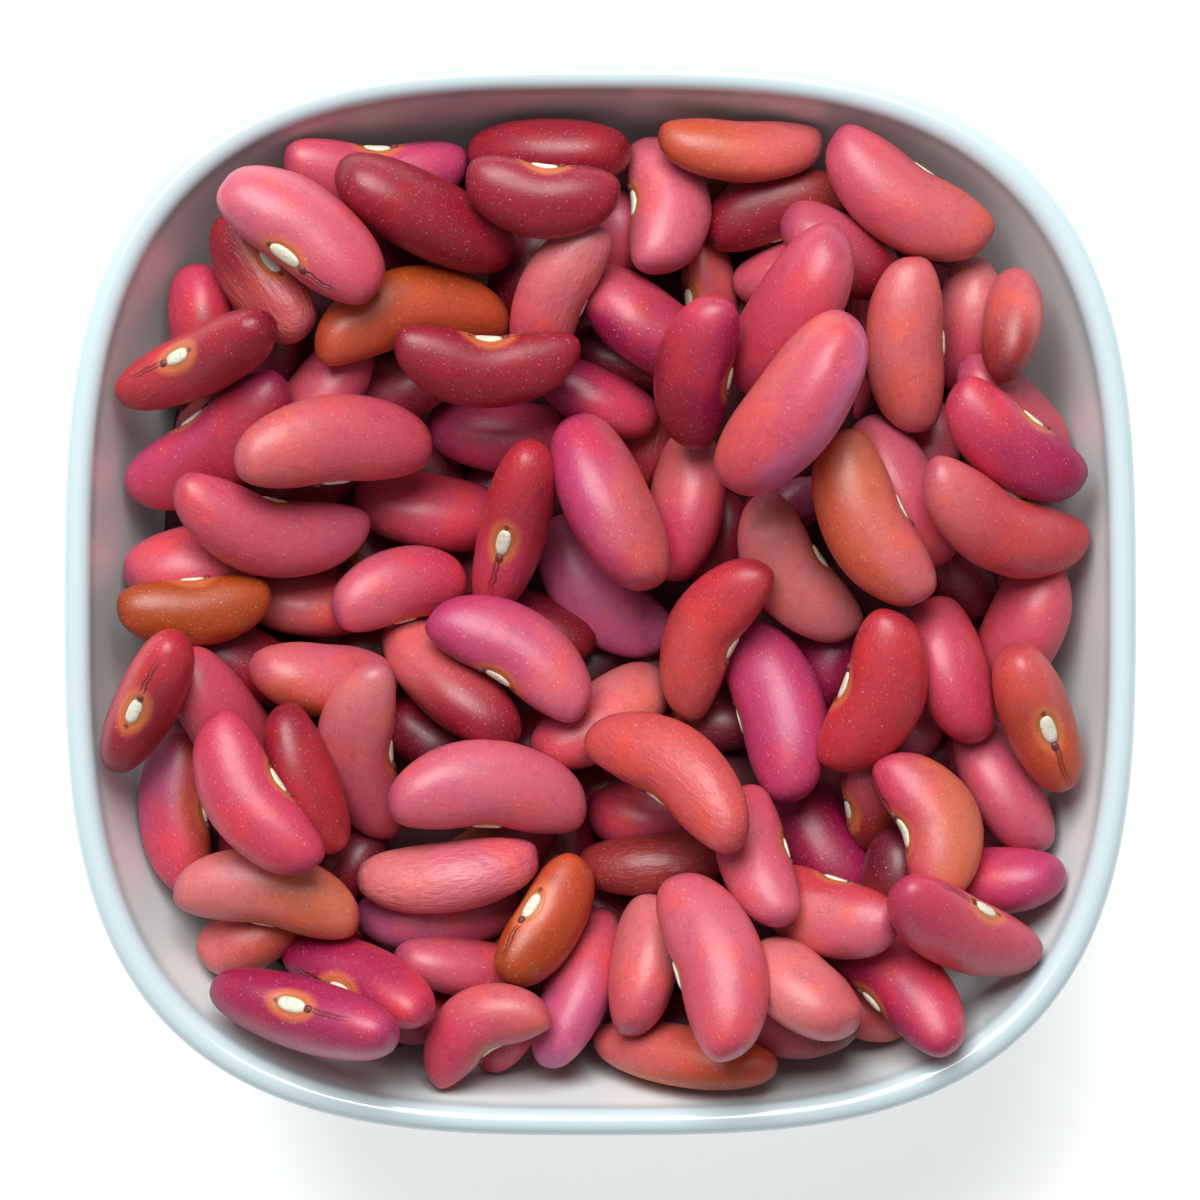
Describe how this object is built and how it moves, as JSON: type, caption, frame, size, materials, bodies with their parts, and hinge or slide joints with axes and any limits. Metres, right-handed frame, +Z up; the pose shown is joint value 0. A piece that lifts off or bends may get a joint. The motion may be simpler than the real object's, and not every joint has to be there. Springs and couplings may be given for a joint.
{
  "type": "bowl of dried beans",
  "caption": "Small square-sided white glazed bowl with rounded corners and a foot ring, heaped with dried red kidney beans.",
  "frame": {"origin": "middle of the foot ring's underside, on the ground", "axes": "+Z up; +X to the right and +Y to the top of the picture, which looks straight down"},
  "size_m": [0.097, 0.097, 0.0572],
  "materials": {
    "glaze": "glossy white glaze with a cool tinge",
    "beans": "satin dry seed coats, crimson to magenta, coral and orange-brown"
  },
  "bodies": {
    "root": {"bowl": "glaze", "beans": "beans"}
  },
  "joints": []
}
